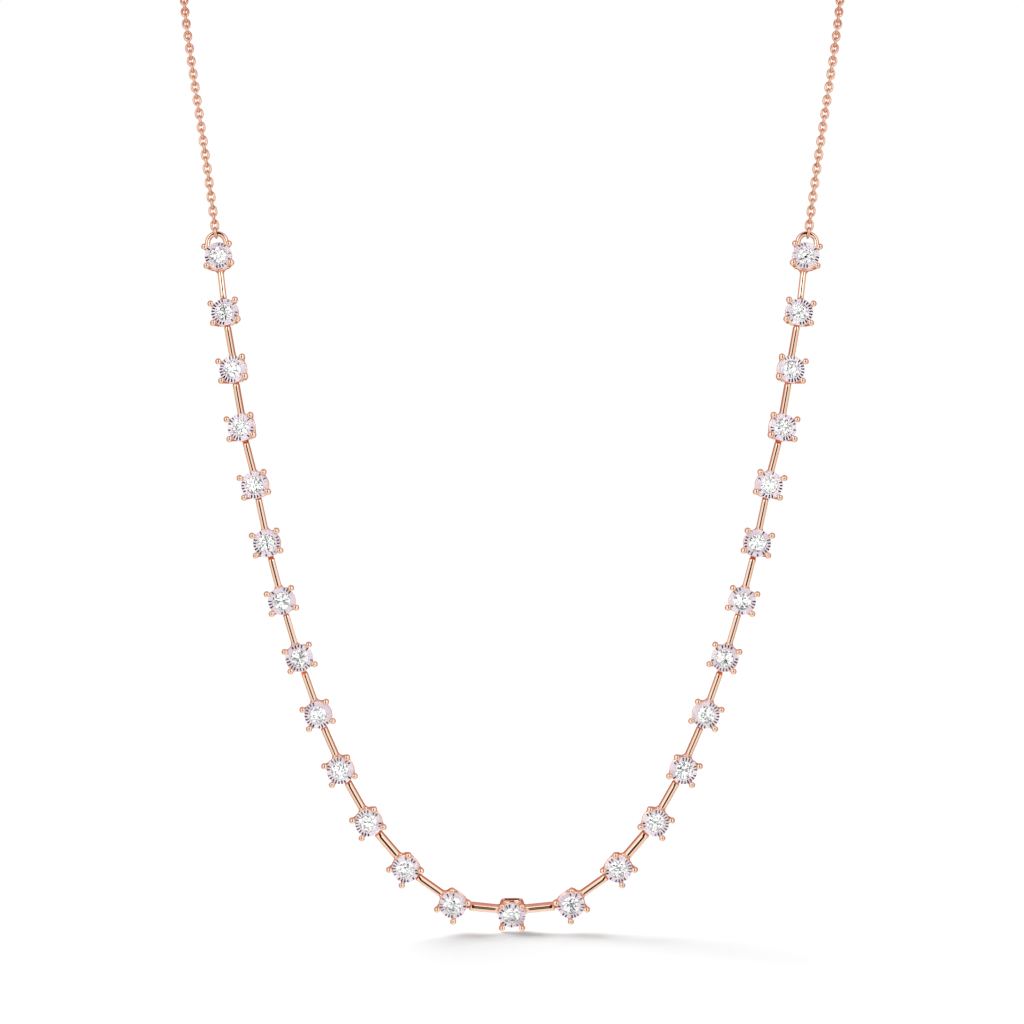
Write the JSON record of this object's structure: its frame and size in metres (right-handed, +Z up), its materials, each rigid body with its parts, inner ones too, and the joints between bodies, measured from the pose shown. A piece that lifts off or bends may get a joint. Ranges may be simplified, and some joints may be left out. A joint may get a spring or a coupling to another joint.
{
  "type": "riviere necklace",
  "caption": "Riviere necklace: round stones in fluted plates with four-claw settings, joined by short hooked bars, on a fine cable chain with a spring ring.",
  "frame": {"origin": "middle of the spring ring at the nape, where the worn necklace hangs", "axes": "+Z up, +X to the viewer's right, the stones face -Y; the necklace mirrors about the YZ plane but for its clasp"},
  "size_m": [0.1026, 0.062, 0.1573],
  "materials": {
    "rose_gold": "polished",
    "diamond": "faceted and polished",
    "white_gold": "bright cut"
  },
  "bodies": {
    "root": {"link_centre": "rose_gold", "link_right_1": "rose_gold", "link_right_2": "rose_gold", "link_right_3": "rose_gold", "link_right_4": "rose_gold", "link_right_5": "rose_gold", "link_right_6": "rose_gold", "link_right_7": "rose_gold", "link_right_8": "rose_gold", "link_right_9": "rose_gold", "link_right_10": "rose_gold", "link_right_11": "rose_gold", "link_right_12": "rose_gold", "link_right_13": "rose_gold", "link_left_1": "rose_gold", "link_left_2": "rose_gold", "link_left_3": "rose_gold", "link_left_4": "rose_gold", "link_left_5": "rose_gold", "link_left_6": "rose_gold", "link_left_7": "rose_gold", "link_left_8": "rose_gold", "link_left_9": "rose_gold", "link_left_10": "rose_gold", "link_left_11": "rose_gold", "link_left_12": "rose_gold", "link_left_13": "rose_gold", "chain_right": "rose_gold", "chain_left": "rose_gold", "spring_ring": "rose_gold", "end_ring": "rose_gold", "diamonds": "diamond", "illusion_plates": "white_gold"}
  },
  "joints": []
}
